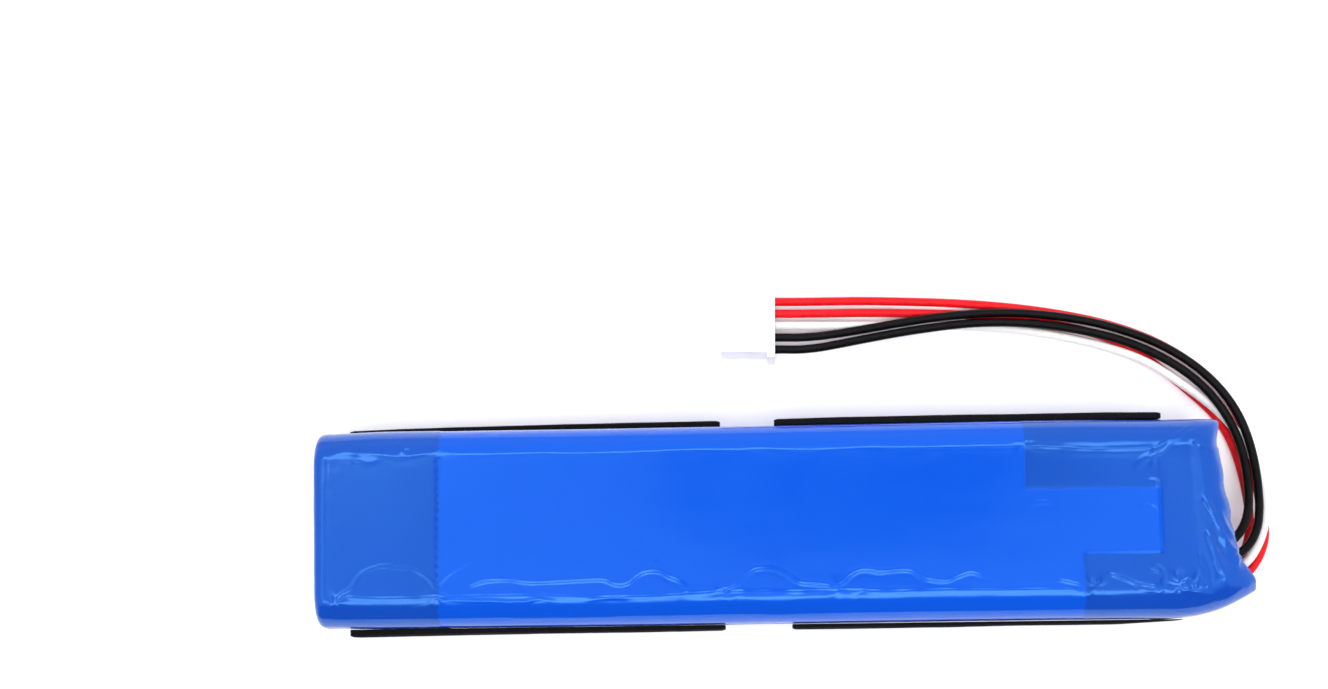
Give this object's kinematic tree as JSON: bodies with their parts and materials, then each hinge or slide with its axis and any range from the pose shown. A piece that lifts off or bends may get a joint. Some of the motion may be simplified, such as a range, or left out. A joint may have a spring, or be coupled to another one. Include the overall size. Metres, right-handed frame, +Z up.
{
  "type": "pouch battery cell pack",
  "caption": "Flat rechargeable pouch-cell pack in a blue shrink sleeve with side foam pads, a built-in protection board and a short lead to a white inline plug.",
  "frame": {"origin": "middle of the pack's underside, leads and plug left out", "axes": "+X along the pack towards the end the leads leave, +Y towards the side the plug lies on, +Z up through the pack's thickness"},
  "size_m": [0.148, 0.0551, 0.0192],
  "materials": {
    "film": "translucent blue shrink film, glossy",
    "tape": "dark adhesive tape, seen only through the film",
    "foam": "black closed-cell foam, matt",
    "bond": "white double-sided foam tape",
    "laminate": "aluminium laminate pouch, satin",
    "anode": "graphite coating on copper foil",
    "cathode": "oxide coating on aluminium foil",
    "separator": "white polymer separator",
    "aluminium_tab": "bright aluminium tab",
    "nickel": "nickel strip",
    "sealant": "polymer tab sealant",
    "termination": "green polyester tape",
    "board": "green glass-fibre circuit board",
    "chip": "black epoxy moulding",
    "ceramic_chip": "brown ceramic with tinned ends",
    "fuse": "white ceramic",
    "insulation": "barley-coloured insulating paper",
    "red_insulation": "red silicone-like wire insulation, satin",
    "black_insulation": "black wire insulation, satin",
    "white_insulation": "white wire insulation, satin",
    "tinned_contact": "tinned phosphor bronze",
    "nylon": "white nylon, satin"
  },
  "bodies": {
    "root": {"anode_strip_lower": "anode", "anode_strip_upper": "anode", "board_fuse": "fuse", "cathode_strip_lower": "cathode", "cathode_strip_upper": "cathode", "cell_bonding_tape": "bond", "filter_capacitor": "ceramic_chip", "foam_strip_front_left": "foam", "foam_strip_front_right": "foam", "foam_strip_rear_left": "foam", "foam_strip_rear_right": "foam", "front_patch_tape": "tape", "inner_separator_lower": "separator", "inner_separator_upper": "separator", "insulation_paper": "insulation", "left_end_tape": "tape", "negative_lead_a": "black_insulation", "negative_lead_b": "black_insulation", "negative_link": "nickel", "negative_tab_lower": "nickel", "negative_tab_seal_lower": "sealant", "negative_tab_seal_upper": "sealant", "negative_tab_upper": "nickel", "negative_terminal_a": "tinned_contact", "negative_terminal_b": "tinned_contact", "outer_separator_lower": "separator", "outer_separator_upper": "separator", "plug_housing": "nylon", "positive_lead_a": "red_insulation", "positive_lead_b": "red_insulation", "positive_link": "nickel", "positive_tab_lower": "aluminium_tab", "positive_tab_seal_lower": "sealant", "positive_tab_seal_upper": "sealant", "positive_tab_upper": "aluminium_tab", "positive_terminal_a": "tinned_contact", "positive_terminal_b": "tinned_contact", "pouch_cover_lower": "laminate", "pouch_cover_upper": "laminate", "pouch_cup_lower": "laminate", "pouch_cup_upper": "laminate", "protection_board": "board", "protection_chip": "chip", "rear_patch_tape": "tape", "right_end_tape": "tape", "sense_lead": "white_insulation", "sense_resistor": "chip", "sense_terminal": "tinned_contact", "series_link": "nickel", "shrink_sleeve": "film", "switch_transistor_a": "chip", "switch_transistor_b": "chip", "temperature_sensor": "ceramic_chip", "termination_tape_lower": "termination", "termination_tape_upper": "termination"}
  },
  "joints": []
}
